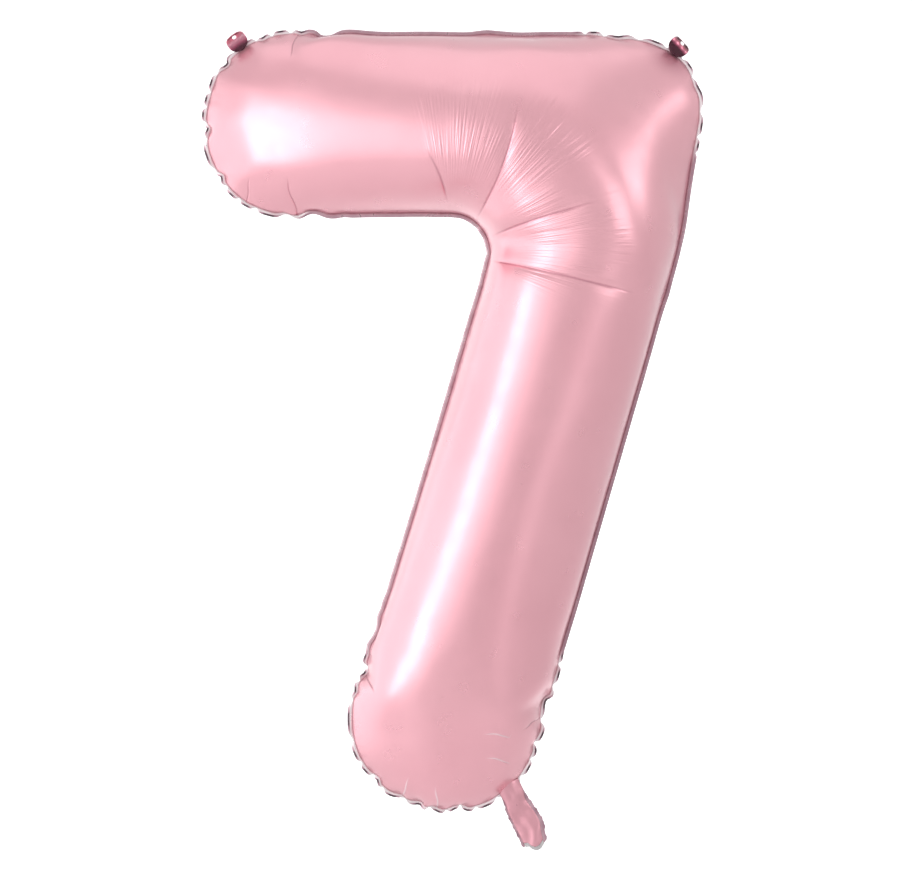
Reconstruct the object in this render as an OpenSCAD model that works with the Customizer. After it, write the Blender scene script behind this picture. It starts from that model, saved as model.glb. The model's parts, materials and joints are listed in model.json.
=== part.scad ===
// Foil number balloon in the shape of a seven, inflated.
//
// Two foil panels are welded together round their edge. A flat inflation tail hangs from
// the foot, a self-sealing film valve runs from the tail into the envelope, and two welded
// tabs with holes hang the balloon. The number stands upright: +Z is up, the front faces -Y,
// and the origin lies midway between the two hanging holes.

/* [Envelope] */
// Inflated diameter of the bar and of the leg, from seam to seam
tube_d = 196; // [185:1:205]
// Straight length of the bar, left of the bend
bar_run = 186; // [150:1:220]
// Straight length of the leg, below the bend
leg_run = 510; // [440:5:580]
// Length of the rounded end of each stroke
cap_len = 84; // [72:1:98]
// Lean of the leg from upright, in degrees
leg_lean = 16.2; // [12:0.2:20]
// Radius of the seam round the inner bend
inner_r = 43; // [34:1:56]
// Squareness of the outer corner, higher is squarer
corner_power = 4; // [3:0.1:7]
// How far the leg side of the outer corner is drawn in
corner_pull = 12; // [0:1:16]
// Extra half depth of the bulge at the bend
corner_bulge = 12; // [0:1:20]
// How far the foot spreads on its inner side
foot_flare = 7; // [0:0.5:12]

/* [Foil] */
// Wall of a foil panel
film_t = 1; // [0.8:0.1:1.4]
// Width of the welded edge outside the seam
weld_w = 4.5; // [3:0.5:7]
// Thickness of the welded edge
weld_t = 2; // [1.8:0.1:2.6]

/* [Inflation tail] */
// Place of the neck round the foot, in degrees from the tip of the foot
neck_at = 61; // [54:1:68]
// Direction of the tail from straight down, in degrees
tail_turn = 20.7; // [16:0.1:26]
// Length of the tail
tail_len = 60; // [45:1:80]
// Width of the tail at the neck
neck_w = 24; // [22:1:28]
// Width of the tail at its widest
tail_w = 31; // [28:1:36]
// Width of the weld along each side of the tail
tail_seal_w = 3.5; // [2.5:0.5:4]

/* [Valve] */
// Width of the valve films
valve_w = 16; // [12:1:17]
// Length of the valve inside the envelope
valve_len = 90; // [60:5:120]
// Thickness of a valve film
valve_t = 0.5; // [0.4:0.1:0.6]

/* [Hanging tabs] */
// Width of a tab
tab_w = 23; // [18:1:28]
// Length of a tab
tab_len = 15; // [13:1:20]
// Diameter of the hanging hole
hole_d = 5; // [3:0.5:6]
// Place of the left tab round the end of the bar, in degrees
left_tab_at = 58; // [50:1:64]
// Direction of the right tab from the inner bend, in degrees above level
right_tab_at = 42; // [39:1:46]

/* [Hidden] */
$fn = 48;
foil = [0.93, 0.68, 0.73];
silver = [0.72, 0.68, 0.69];
clear_film = [0.86, 0.84, 0.85];
tube_r = tube_d / 2;
bar_axis_z = inner_r + tube_r;
ring_steps = 14;
cap_steps = 10;
bar_steps = 3;
bend_steps = 22;
leg_steps = 8;
tip_angle = 4;
hinge_gap = 1.4;
tail_film_t = 0.8;
tail_half_t = weld_t / 2 + tail_film_t;
tail_gap = tail_half_t + 0.5;
neck_slant = 0.16;
side_gap = 0.4;

// Directions in the plane of the number, written [x, z]
along_leg = [-sin(leg_lean), -cos(leg_lean)];
across_leg = [cos(leg_lean), -sin(leg_lean)];
tail_dir = [sin(tail_turn), -cos(tail_turn)];
tail_side = [cos(tail_turn), sin(tail_turn)];

// Distance from the centre of the inner bend to the outer seam, at an angle above level
function outer_reach(a) =
    pow(pow(max(0, sin(a)), corner_power) + pow(max(0, cos(a + leg_lean)), corner_power),
        -1 / corner_power) * (inner_r + tube_d)
    - corner_pull * (a > 0 && a < 45 ? pow(sin(4 * a), 2) : 0);

// How far the inner side of the leg has spread at a distance below the bend
function flare(s) = foot_flare * pow(max(0, min(1, s / leg_run)), 3);

// A station across a stroke: [inner edge, outer edge, half depth]. The whole outline moves
// in by the inset, or out where the inset is negative.
function bar_cap_station(a, inset) =
    let (x = -bar_run - (cap_len - inset) * cos(a), w = (tube_r - inset) * sin(a))
    [[x, bar_axis_z - w], [x, bar_axis_z + w], w];
function bar_station(x, inset) =
    [[x, inner_r + inset], [x, inner_r + tube_d - inset], tube_r - inset];
function bend_station(a, inset) =
    let (dir = [cos(a), sin(a)], turn = (90 - a) / (90 + leg_lean))
    [dir * (inner_r + inset), dir * (outer_reach(a) - inset),
        tube_r - inset + corner_bulge * pow(sin(180 * turn), 2)];
function leg_station(s, inset) =
    [across_leg * (inner_r + inset - flare(s)) + along_leg * s,
        across_leg * (inner_r + tube_d - inset) + along_leg * s, tube_r - inset];
function leg_cap_station(a, inset) =
    let (base = leg_station(leg_run, inset), mid = (base[0] + base[1]) / 2,
        half = (base[1] - base[0]) / 2, reach = along_leg * (cap_len - inset) * cos(a))
    [mid - half * sin(a) + reach, mid + half * sin(a) + reach, (tube_r - inset) * sin(a)];

// All stations in order, from the tip of the bar round the bend to the tip of the foot
function stations(inset) = concat(
    [for (i = [0 : cap_steps]) bar_cap_station(tip_angle + (90 - tip_angle) * i / cap_steps, inset)],
    [for (i = [1 : bar_steps - 1]) bar_station(-bar_run * (1 - i / bar_steps), inset)],
    [for (i = [0 : bend_steps]) bend_station(90 - (90 + leg_lean) * i / bend_steps, inset)],
    [for (i = [1 : leg_steps - 1]) leg_station(leg_run * i / leg_steps, inset)],
    [for (i = [0 : cap_steps]) leg_cap_station(90 - (90 - tip_angle) * i / cap_steps, inset)]);

// The outline as one loop of [x, z] points
function edge_loop(inset) =
    let (s = stations(inset), n = len(s))
    concat([for (i = [0 : n - 1]) s[i][0]], [for (i = [n - 1 : -1 : 0]) s[i][1]]);

// Points over one half of the envelope, as half ellipses across the stations
function dome_points(inset) = [
    for (s = stations(inset), j = [0 : ring_steps])
        let (a = 180 * j / ring_steps, p = s[0] + (s[1] - s[0]) * (1 - cos(a)) / 2)
        [p[0], -s[2] * sin(a), p[1]]];

function dome_faces(n, first, flip) =
    let (m = ring_steps + 1)
    concat(
        [for (i = [0 : n - 2], j = [0 : ring_steps - 1], k = [0, 1])
            let (a = first + i * m + j, t = k == 0 ? [a, a + 1, a + m] : [a + 1, a + m + 1, a + m])
            flip ? [t[0], t[2], t[1]] : t],
        [[for (j = [0 : ring_steps]) first + (flip ? j : ring_steps - j)]],
        [[for (j = [0 : ring_steps]) first + (n - 1) * m + (flip ? ring_steps - j : j)]]);

function rim_faces(n, inner) =
    let (m = ring_steps + 1, last = (n - 1) * m)
    concat(
        [for (i = [0 : n - 2], k = [0, ring_steps])
            let (a = i * m + k, q = [a, a + m, inner + a + m, inner + a])
            k == 0 ? q : [q[3], q[2], q[1], q[0]]],
        [[ring_steps, 0, inner, inner + ring_steps]],
        [[last, last + ring_steps, inner + last + ring_steps, inner + last]]);

// One foil panel: a domed skin with its rim on the welded edge
module panel() {
    n = len(stations(0));
    count = n * (ring_steps + 1);
    polyhedron(
        points = concat(dome_points(0), dome_points(film_t)),
        faces = concat(dome_faces(n, 0, false), dome_faces(n, count, true), rim_faces(n, count)),
        convexity = 8);
}

// Extrudes a flat shape drawn in [x, z] between two depths, y_low and y_high
module upright(y_low, y_high) {
    translate([0, y_high, 0]) rotate([90, 0, 0]) linear_extrude(y_high - y_low) children();
}

// The neck, where the tail leaves the welded edge, and the fold line of the tail
neck_edge = leg_cap_station(neck_at, -weld_w)[1];
neck_fold = neck_edge + tail_dir * (tail_gap + neck_w * neck_slant);

// Where the valve films come free of the neck, just inside the envelope
valve_root = neck_edge - tail_dir * (weld_w + film_t + 4);

// The left tab's root on the end of the bar, and the way it points
left_root = [-bar_run - (cap_len + weld_w) * cos(left_tab_at),
    bar_axis_z + (tube_r + weld_w) * sin(left_tab_at)];
left_out = [-cos(left_tab_at) * (tube_r + weld_w), sin(left_tab_at) * (cap_len + weld_w)];
left_dir = left_out / norm(left_out);

// The right tab's root on the outer corner. It points straight away from the inner bend.
right_dir = [cos(right_tab_at), sin(right_tab_at)];
right_root = right_dir * (outer_reach(right_tab_at) + weld_w);

// A tab folds about a line that stands off the welded edge, and its hole is past the middle
tab_fold = 2 * hinge_gap;
hole_reach = tab_fold + hinge_gap + tab_len * 0.5;
left_hole = left_root + left_dir * hole_reach;
right_hole = right_root + right_dir * hole_reach;
origin = (left_hole + right_hole) / 2;
left_fold = left_root + left_dir * tab_fold;
right_fold = right_root + right_dir * tab_fold;

module place() {
    translate([-origin[0], 0, -origin[1]]) children();
}

module front_panel() {
    color(foil) place() translate([0, -weld_t / 2, 0]) panel();
}

module back_panel() {
    color(foil) place() translate([0, weld_t / 2, 0]) mirror([0, 1, 0]) panel();
}

// Moves a flat shape to a point in the plane, with its own +Y along a direction
module at(point, dir) {
    translate(point) rotate(atan2(dir[1], dir[0]) - 90) children();
}

// The welded edge all round, open at the neck where the valve passes
module seam_band() {
    color(silver) place() upright(-weld_t / 2, weld_t / 2) difference() {
        polygon(edge_loop(-weld_w));
        polygon(edge_loop(film_t + 0.2));
        at(neck_fold, tail_dir) translate([-valve_w / 2 - side_gap, -30])
            square([valve_w + 2 * side_gap, 40]);
    }
}

// Half width of the tail at a distance below its fold line
function tail_half(s) =
    neck_w / 2 + (tail_w - neck_w) / 2 * sin(90 * min(1, s / (tail_len * 0.55)));

// The tail's outline, drawn with the fold line on X and the tail along +Y
tail_steps = 12;
module tail_outline(inset) {
    side = [for (i = [0 : tail_steps])
        let (s = tail_gap + (tail_len - tail_gap) * i / tail_steps) [tail_half(s) - inset, s]];
    polygon(concat(side, [for (i = [tail_steps : -1 : 0]) [-side[i][0], side[i][1]]]));
}

module tail_film(y_low) {
    color(foil) place() upright(y_low, y_low + tail_film_t) at(neck_fold, tail_dir)
        tail_outline(0);
}

module tail_front_film() {
    tail_film(-tail_half_t);
}

module tail_back_film() {
    tail_film(weld_t / 2);
}

// The weld along one side of the tail, on the +X side of the tail's own drawing when side is 1
module tail_seal(side) {
    color(silver) place() upright(-weld_t / 2, weld_t / 2) at(neck_fold, tail_dir)
        intersection() {
            difference() {
                tail_outline(0);
                tail_outline(tail_seal_w);
            }
            translate([side > 0 ? 0 : -tail_w, 0]) square([tail_w, tail_len + 1]);
        }
}

module tail_seal_left() {
    tail_seal(-1);
}

module tail_seal_right() {
    tail_seal(1);
}

// A valve film inside the tail, bonded to the tail's wall
module valve_mouth(y_low) {
    color(clear_film) place() upright(y_low, y_low + valve_t) at(neck_fold, tail_dir)
        translate([-valve_w / 2, tail_gap]) square([valve_w, tail_len - tail_gap]);
}

module valve_mouth_front() {
    valve_mouth(-weld_t / 2);
}

module valve_mouth_back() {
    valve_mouth(weld_t / 2 - valve_t);
}

// A valve film where it passes between the welded edges of the neck
valve_y = 0.15;
module valve_neck(y_low) {
    reach = norm(neck_fold - valve_root) - 2 * side_gap;
    color(clear_film) place() upright(y_low, y_low + valve_t) at(neck_fold, -tail_dir)
        translate([-valve_w / 2, tail_gap]) square([valve_w, reach - tail_gap]);
}

module valve_neck_front() {
    valve_neck(-valve_y - valve_t);
}

module valve_neck_back() {
    valve_neck(valve_y);
}

// A valve film inside the envelope, from the neck to its rounded end
module valve_inner(y_low) {
    tip = valve_w / 2;
    color(clear_film) place() upright(y_low, y_low + valve_t) at(valve_root, -tail_dir) {
        translate([-tip, 0]) square([valve_w, valve_len - tip]);
        translate([0, valve_len - tip]) circle(tip);
    }
}

module valve_inner_front() {
    valve_inner(-valve_y - valve_t);
}

module valve_inner_back() {
    valve_inner(valve_y);
}

// A hanging tab: both foils welded flat, with rounded corners and a punched hole
module hang_tab(fold, dir) {
    corner = 6;
    color(foil) place() upright(-weld_t / 2, weld_t / 2) at(fold, dir) difference() {
        union() {
            translate([-tab_w / 2, hinge_gap]) square([tab_w, tab_len - corner]);
            translate([-tab_w / 2 + corner, hinge_gap]) square([tab_w - 2 * corner, tab_len]);
            for (side = [-1, 1])
                translate([side * (tab_w / 2 - corner), hinge_gap + tab_len - corner])
                    circle(corner);
        }
        translate([0, hole_reach - tab_fold]) circle(d = hole_d);
    }
}

module hang_tab_left() {
    hang_tab(left_fold, left_dir);
}

module hang_tab_right() {
    hang_tab(right_fold, right_dir);
}

front_panel();
back_panel();
seam_band();
tail_front_film();
tail_back_film();
tail_seal_left();
tail_seal_right();
valve_mouth_front();
valve_mouth_back();
valve_neck_front();
valve_neck_back();
valve_inner_front();
valve_inner_back();
hang_tab_left();
hang_tab_right();
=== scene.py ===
import json
import math

import bpy
import numpy as np
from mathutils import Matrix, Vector
from mathutils.geometry import delaunay_2d_cdt

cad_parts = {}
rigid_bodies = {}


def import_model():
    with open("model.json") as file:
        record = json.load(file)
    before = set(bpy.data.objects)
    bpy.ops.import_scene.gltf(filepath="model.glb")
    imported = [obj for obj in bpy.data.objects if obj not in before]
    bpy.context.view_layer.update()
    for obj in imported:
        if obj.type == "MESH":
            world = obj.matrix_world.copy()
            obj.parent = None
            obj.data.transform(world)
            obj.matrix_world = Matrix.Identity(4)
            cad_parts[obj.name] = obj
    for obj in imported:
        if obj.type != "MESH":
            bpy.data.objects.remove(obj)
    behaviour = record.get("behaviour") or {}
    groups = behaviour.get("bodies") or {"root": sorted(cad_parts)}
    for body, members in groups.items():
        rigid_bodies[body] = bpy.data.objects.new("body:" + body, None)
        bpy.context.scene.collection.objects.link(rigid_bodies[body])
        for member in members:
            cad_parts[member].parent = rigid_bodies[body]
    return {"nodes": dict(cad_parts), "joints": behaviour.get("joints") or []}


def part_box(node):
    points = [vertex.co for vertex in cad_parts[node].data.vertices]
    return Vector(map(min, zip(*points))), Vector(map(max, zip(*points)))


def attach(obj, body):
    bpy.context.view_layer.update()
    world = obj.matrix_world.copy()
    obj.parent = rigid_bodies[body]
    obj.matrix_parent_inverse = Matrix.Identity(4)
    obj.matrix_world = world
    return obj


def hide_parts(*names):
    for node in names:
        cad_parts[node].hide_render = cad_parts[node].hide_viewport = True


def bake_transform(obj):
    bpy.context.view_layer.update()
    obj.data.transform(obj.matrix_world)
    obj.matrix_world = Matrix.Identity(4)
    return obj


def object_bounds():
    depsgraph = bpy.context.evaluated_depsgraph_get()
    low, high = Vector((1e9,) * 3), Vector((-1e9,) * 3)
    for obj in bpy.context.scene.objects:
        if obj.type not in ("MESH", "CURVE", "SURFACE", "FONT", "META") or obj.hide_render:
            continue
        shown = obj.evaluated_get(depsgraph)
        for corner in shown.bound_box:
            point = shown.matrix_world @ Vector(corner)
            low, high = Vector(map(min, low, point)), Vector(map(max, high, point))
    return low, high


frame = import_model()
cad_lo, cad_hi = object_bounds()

# Sizes are in metres, except the tail's, which are in millimetres from its fold. Angles are in
# degrees. X is to the right, Z is up, and the front faces -Y.

# The seam of the inflated balloon, as in the CAD
INFLATED = dict(
    width=0.196, bar=0.186, leg=0.510, cap=0.084, lean=16.2, tilt=0.0,
    inner=0.043, power=4.0, pull=0.012, flare=0.007, taper=0.0)
# The seam on the flat film, which is wider and more open, because filling draws it in
CUT = dict(
    width=0.300, bar=0.200, leg=0.520, cap=0.115, lean=7.0, tilt=41.0,
    inner=0.120, power=14.0, pull=-0.020, flare=0.0, taper=0.030)
WELD = 0.0045       # width of the welded edge outside the seam
FILM = 0.0004       # thickness of a foil panel
STEP = 0.009     # spacing of the film's points
FRAMES = 60         # length of the inflation
SEED = 3

# The long creases that fan out from the inner bend: their direction at the near and the far end,
# in degrees, their distance from the bend's centre at both ends, and their depth
CREASES = [
    (51.0, 65.0, 0.045, 0.170, 0.0030),
    (19.0, 17.0, 0.048, 0.165, 0.0025),
    (-14.0, -14.0, 0.046, 0.205, 0.0025),
    (94.0, 104.0, 0.052, 0.110, 0.0012),
]
CREASE_WIDTH = 0.006
# The short pleats that run in from the seam: their start from the bend's centre, their direction in
# degrees, their length, and 1 for a valley or -1 where the foil stands up in a ridge
PLEATS = [
    (-0.170, 0.236, -106, 0.028, 1),
    (-0.227, 0.054, 75, 0.028, 1),
    (-0.170, 0.042, 105, 0.040, 1),
    (-0.096, -0.460, -66, 0.030, 1),
    (0.100, -0.514, -156, 0.026, 1),
    (0.056, -0.530, 172, 0.022, -1),
    (0.056, -0.559, 166, 0.020, -1),
    (-0.056, -0.602, 66, 0.028, -1),
    (-0.016, -0.614, 90, 0.028, -1),
    (0.282, 0.170, 180, 0.014, 1),
]
PLEAT_DEPTH = 0.0014
PLEAT_WIDTH = 0.005
PLEAT_WAVE = 0.0012     # how far a pleat's line sways
BEND_ROUNDS = 30     # how much the bend is smoothed
IRON_ROUNDS = 5      # how much the whole film is smoothed

# The tail starts this far before its fold, in millimetres
TAIL_START = -17.0
# The widths of the welds along its left and right sides, in millimetres
TAIL_WELDS = (3.0, 5.0)
# A tab's half width, length, root on the welded edge and hole radius, and the hole's distance out
TAB = (0.0115, 0.015, 0.0085, 0.0025)
HOLE_AT = 0.0089

SCALLOP = 0.025     # pitch of the scallops of the welded edge
SCALLOP_ROLL = 0.0008     # how far a scallop rolls to the front or back
WELD_LAP = 0.0008     # how far the welded edge reaches in under the panels
NECK_HALF_WIDTH = 0.0105     # half the gap in the welded edge, where the tail comes out
TAIL_END = 60.0     # the tail's length past its fold, before its ragged mouth

# The picture's width and its centre from the centre of the welded edge, on the balloon's plane
VIEW_WIDTH = 1.007
VIEW_SHIFT = Vector((0.0042, 0, -0.0263))
LENS = 135.0
SENSOR = 36.0
FLOOR_DROP = 0.95     # from the balloon's foot to the floor, so that no light reaches through it


# ---------------------------------------------------------------- outlines

def unit(degrees):
    """A unit vector (x, z) at an angle from +X."""
    return np.array([math.cos(math.radians(degrees)), math.sin(math.radians(degrees))])


def outline(width, bar, leg, cap, lean, tilt, inner, power, pull, flare, taper, n=400):
    """The seam as a closed loop of (x, z) round the number, about the centre of the inner bend.
    Every shape has the same number of points on each feature, so that two shapes pair up."""
    q = np.linspace(0, 1, n, endpoint=False)[:, None]
    quarter = math.pi/2*q
    half = width/2
    slim = taper/2
    up, left = unit(90 - tilt), unit(180 - tilt)
    down, right = unit(-90 - lean), unit(-lean)
    bar_end = up*(inner + half) + left*bar
    foot = right*(inner + half - flare/2) + down*leg
    spread = (half - slim)*(1 + flare/width)

    def around(angles, reach):
        return reach*np.hstack([np.cos(angles), np.sin(angles)])

    def bar_cap(side, angles):
        return bar_end + left*cap*np.cos(angles) + side*(half - slim)*np.sin(angles)

    def foot_cap(side, angles):
        return foot + down*cap*np.cos(angles) + side*spread*np.sin(angles)

    from_top = np.radians(90 - tilt - (90 - tilt + lean)*q)
    from_low = from_top[::-1]
    nearness = (np.clip(np.cos(from_low - math.radians(90 - tilt)), 0, None)**power
                + np.clip(np.cos(from_low + math.radians(lean)), 0, None)**power)
    drawn_in = pull*np.sin(math.pi*np.clip(from_low/math.radians(45), 0, 1))**2
    return np.vstack([
        bar_cap(-up, quarter),
        up*(inner + slim*(1 - q)) + left*bar*(1 - q),
        around(from_top, inner),
        right*(inner + slim*q) + down*leg*q - right*flare*q**3,
        foot_cap(-right, math.pi/2 - quarter),
        foot_cap(right, quarter),
        right*(inner + width - slim*(1 - q)) + down*leg*(1 - q),
        around(from_low, (inner + width)*nearness**(-1/power) - drawn_in),
        up*(inner + width - slim*q) + left*bar*q,
        bar_cap(up, math.pi/2 - quarter)])


def evenly(loop, step):
    """The loop again, with points at even steps of its length."""
    closed = np.vstack([loop, loop[:1]])
    run = np.r_[0, np.cumsum(np.linalg.norm(np.diff(closed, axis=0), axis=1))]
    at = np.linspace(0, run[-1], int(round(run[-1]/step)), endpoint=False)
    return np.c_[np.interp(at, run, closed[:, 0]), np.interp(at, run, closed[:, 1])]


def outward(loop):
    """Unit normals of a counterclockwise loop, pointing out of it."""
    along = np.roll(loop, -1, 0) - np.roll(loop, 1, 0)
    normal = np.c_[along[:, 1], -along[:, 0]]
    return normal/np.linalg.norm(normal, axis=1)[:, None]


def within(loop, points):
    """Which points lie inside the loop."""
    x, z = points.T
    inside = np.zeros(len(points), bool)
    for (x0, z0), (x1, z1) in zip(loop, np.roll(loop, -1, 0)):
        if z0 != z1:
            inside ^= ((z0 > z) != (z1 > z)) & (x < (x1 - x0)*(z - z0)/(z1 - z0) + x0)
    return inside


def nearest(points, others):
    """For each point, the index of the nearest of the others and its distance."""
    index = np.zeros(len(points), int)
    gap = np.zeros(len(points))
    for k in range(0, len(points), 1000):
        d = np.linalg.norm(points[k:k + 1000, None] - others[None], axis=2)
        index[k:k + 1000] = d.argmin(1)
        gap[k:k + 1000] = d.min(1)
    return index, gap


def lattice(loop, step):
    """Points on a triangular lattice inside the loop."""
    lo, hi = loop.min(0), loop.max(0)
    rows = np.arange(lo[1], hi[1], step*math.sqrt(3)/2)
    across = np.arange(lo[0], hi[0], step)
    grid = np.array([(x + (j % 2)*step/2, z) for j, z in enumerate(rows) for x in across])
    return grid[within(loop, grid)]


# ---------------------------------------------------------------- the foil, cut and filled

def cut_film():
    """Two flat panels that share the seam, and the welded edge outside it."""
    seam = evenly(outline(**CUT), STEP)
    n = len(seam)
    ring = seam - outward(seam)*0.85*STEP
    grid = lattice(seam, STEP)
    grid = grid[(nearest(grid, seam)[1] > 0.85*STEP) & (nearest(grid, ring)[1] > 0.62*STEP)]
    inner = np.vstack([ring, grid])
    m = len(inner)
    points = [Vector(p) for p in np.vstack([seam, inner])*1000]
    rim = [(i, (i + 1) % n) for i in range(n)]
    triangles = delaunay_2d_cdt(points, rim, [], 1, 1e-5)[2]
    edge = seam + outward(seam)*(WELD + 0.0005)
    flat = np.vstack([seam, edge, inner, inner])
    depth = np.r_[np.zeros(2*n), np.full(m, -0.0005), np.full(m, 0.0005)]
    front = [tuple(i if i < n else i + n for i in t) for t in triangles]
    back = [tuple(i if i < n else i + n + m for i in reversed(t)) for t in triangles]
    weld = [(i, (i + 1) % n, n + (i + 1) % n, n + i) for i in range(n)]
    return dict(n=n, flat=flat, depth=depth, front=front, back=back, weld=weld)


def inflate(film):
    """Fills the film with Blender's cloth pressure and returns its points."""
    wobble = np.random.default_rng(SEED).normal(0, 0.0002, len(film["flat"]))
    start = np.c_[film["flat"][:, 0], film["depth"] + wobble, film["flat"][:, 1]]
    mesh = bpy.data.meshes.new("film")
    mesh.from_pydata(start.tolist(), [], film["front"] + film["back"] + film["weld"])
    balloon = bpy.data.objects.new("film", mesh)
    bpy.context.scene.collection.objects.link(balloon)
    n = film["n"]
    filled = balloon.vertex_groups.new(name="filled")
    filled.add([i for i in range(len(start)) if not n <= i < 2*n], 1.0, "REPLACE")
    cloth = balloon.modifiers.new("cloth", "CLOTH")
    set_foil(cloth.settings)
    cloth.collision_settings.use_collision = False
    scene = bpy.context.scene
    scene.frame_start = cloth.point_cache.frame_start = 1
    scene.frame_end = cloth.point_cache.frame_end = FRAMES
    for number in range(1, FRAMES + 1):
        scene.frame_set(number)
    filled_up = balloon.evaluated_get(bpy.context.evaluated_depsgraph_get())
    points = np.zeros(len(start)*3, np.float32)
    filled_up.data.vertices.foreach_get("co", points)
    bpy.data.objects.remove(balloon)
    bpy.data.meshes.remove(mesh)
    return points.reshape(-1, 3).astype(float)


def set_foil(settings):
    """Foil hardly stretches, but folds and gathers freely."""
    settings.quality = 5
    settings.mass = 0.05
    settings.air_damping = 4
    settings.tension_stiffness = 400
    settings.compression_stiffness = 5
    settings.shear_stiffness = 100
    settings.bending_stiffness = 1
    settings.tension_damping = settings.compression_damping = settings.shear_damping = 5
    settings.bending_damping = 0.5
    settings.use_pressure = True
    settings.uniform_pressure_force = 30
    settings.vertex_group_pressure = "filled"
    settings.effector_weights.gravity = 0


def turned_onto(flat, n, target):
    """Moves and turns the filled shape so that its seam lies as near the target as it can."""
    flat = flat + target.mean(0) - flat[:n].mean(0)
    for _ in range(40):
        goal = target[nearest(flat[:n], target)[0]]
        here, there = flat[:n].mean(0), goal.mean(0)
        u, v = flat[:n] - here, goal - there
        turn = math.atan2((u[:, 0]*v[:, 1] - u[:, 1]*v[:, 0]).sum(), (u*v).sum())
        spin = np.array([[math.cos(turn), -math.sin(turn)], [math.sin(turn), math.cos(turn)]])
        flat = (flat - here) @ spin.T + there
    return flat


def smoothed(values, reach, step=STEP):
    """Values at even steps round a closed loop, averaged over a length."""
    k = int(3*reach/step) + 1
    offsets = np.arange(-k, k + 1)
    weights = np.exp(-0.5*(offsets*step/reach)**2)
    return sum(np.roll(values, j, 0)*w for j, w in zip(offsets, weights/weights.sum()))


def carried(flat, n, moves):
    """Spreads the seam's moves to every point, more strongly to the nearer ones."""
    result = np.zeros((len(flat), moves.shape[1]))
    for k in range(0, len(flat), 2000):
        gap = np.linalg.norm(flat[k:k + 2000, None] - flat[None, :n], axis=2)
        weight = 1/(gap + 0.004)**3
        result[k:k + 2000] = (weight @ moves)/weight.sum(1)[:, None]
    return result


def settled(points, n, calm):
    """Draws the seam onto the inflated outline, keeping its puckers, and lays it flat and true
    close to the calm places, where the tail and the tabs leave it."""
    target = evenly(outline(**INFLATED), 0.001) + bend_centre()
    flat = turned_onto(points[:, [0, 2]], n, target)
    for _ in range(4):
        pull = target[nearest(flat[:n], target)[0]] - flat[:n]
        true = closeness(flat[:n], calm, 0.030)[:, None]
        flat = flat + carried(flat, n, smoothed(pull, 0.030)*(1 - true) + pull*true)
    flat = flat + carried(flat, n, spread_evenly(flat[:n], target) - flat[:n])
    depth = points[:, 1] - points[:n, 1].mean()
    level = -depth[:n]*closeness(flat[:n], calm, 0.045)
    depth = depth + carried(flat, n, level[:, None])[:, 0]
    return np.c_[flat[:, 0], depth, flat[:, 1]]


def spread_evenly(seam, target):
    """The seam with its points evenly spaced round the inner bend, where filling bunches them."""
    near = np.linalg.norm(seam - INNER, axis=1) < 0.060
    first = int(np.flatnonzero(near & ~np.roll(near, 1))[0])
    count = int(near.sum())
    window = (first + np.arange(count)) % len(seam)
    start, end = nearest(seam[window[[0, -1]]], target)[0]
    end += len(target) if end < start else 0
    index = np.round(np.linspace(start, end, count)).astype(int) % len(target)
    result = seam.copy()
    result[window] = target[index]
    return result


def closeness(flat, places, reach):
    """1 at any of the places, 0 beyond the reach."""
    gap = np.min([np.linalg.norm(flat - p, axis=1) for p in places], axis=0)
    return eased(1 - gap/reach)


def eased(t):
    """A smooth step from 0 to 1."""
    t = np.clip(t, 0, 1)
    return t*t*(3 - 2*t)


def bend_centre():
    """The centre of the inner bend, from the CAD's welded edge."""
    lo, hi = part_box("seam_band")
    s = INFLATED
    return np.array([lo.x + s["bar"] + s["cap"] + WELD, hi.z - s["inner"] - s["width"] - WELD])


def film_edges(faces):
    """The edges of a film of triangles, which edge each triangle's sides are, and which edges
    lie on the film's rim."""
    faces = np.asarray(faces)
    sides = np.vstack([faces[:, [0, 1]], faces[:, [1, 2]], faces[:, [2, 0]]])
    edges, which, count = np.unique(
        np.sort(sides, axis=1), axis=0, return_inverse=True, return_counts=True)
    return edges, which.reshape(3, -1), count == 1


def neighbour_sum(points, edges):
    """The sum of each point's neighbours along the edges."""
    total = np.zeros_like(points)
    np.add.at(total, edges[:, 0], points[edges[:, 1]])
    np.add.at(total, edges[:, 1], points[edges[:, 0]])
    return total


def subdivided(points, faces):
    """One round of Loop subdivision. The rim stays a smooth curve of its own."""
    faces = np.asarray(faces)
    edges, which, open_edge = film_edges(faces)
    opposite = np.r_[faces[:, 2], faces[:, 0], faces[:, 1]]
    ends = points[edges].sum(1)
    wings = np.zeros_like(ends)
    np.add.at(wings, which.ravel(), points[opposite])
    middle = np.where(open_edge[:, None], ends/2, ends*3/8 + wings/8)
    valence = np.bincount(edges.ravel(), minlength=len(points))[:, None]
    share = np.where(valence > 3, 3/(8*np.maximum(valence, 1)), 3/16)
    moved = points*(1 - valence*share) + neighbour_sum(points, edges)*share
    rim = np.unique(edges[open_edge])
    moved[rim] = points[rim]*3/4 + neighbour_sum(points, edges[open_edge])[rim]/8
    (a, b, c), (ab, bc, ca) = faces.T, which + len(points)
    parts = [(a, ab, ca), (ab, b, bc), (ca, bc, c), (ab, bc, ca)]
    return np.vstack([moved, middle]), np.vstack([np.c_[p] for p in parts])


def ironed(points, faces, weight, rounds):
    """Smooths the film where the weight says, and leaves its rim alone."""
    edges, _, open_edge = film_edges(faces)
    valence = np.bincount(edges.ravel(), minlength=len(points))[:, None]
    weight = weight[:, None]*np.where(np.isin(np.arange(len(points)), edges[open_edge]), 0, 1)[:, None]
    for _ in range(rounds):
        mean = neighbour_sum(points, edges)/valence
        points = points + (mean - points)*weight*0.5
    return points


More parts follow.
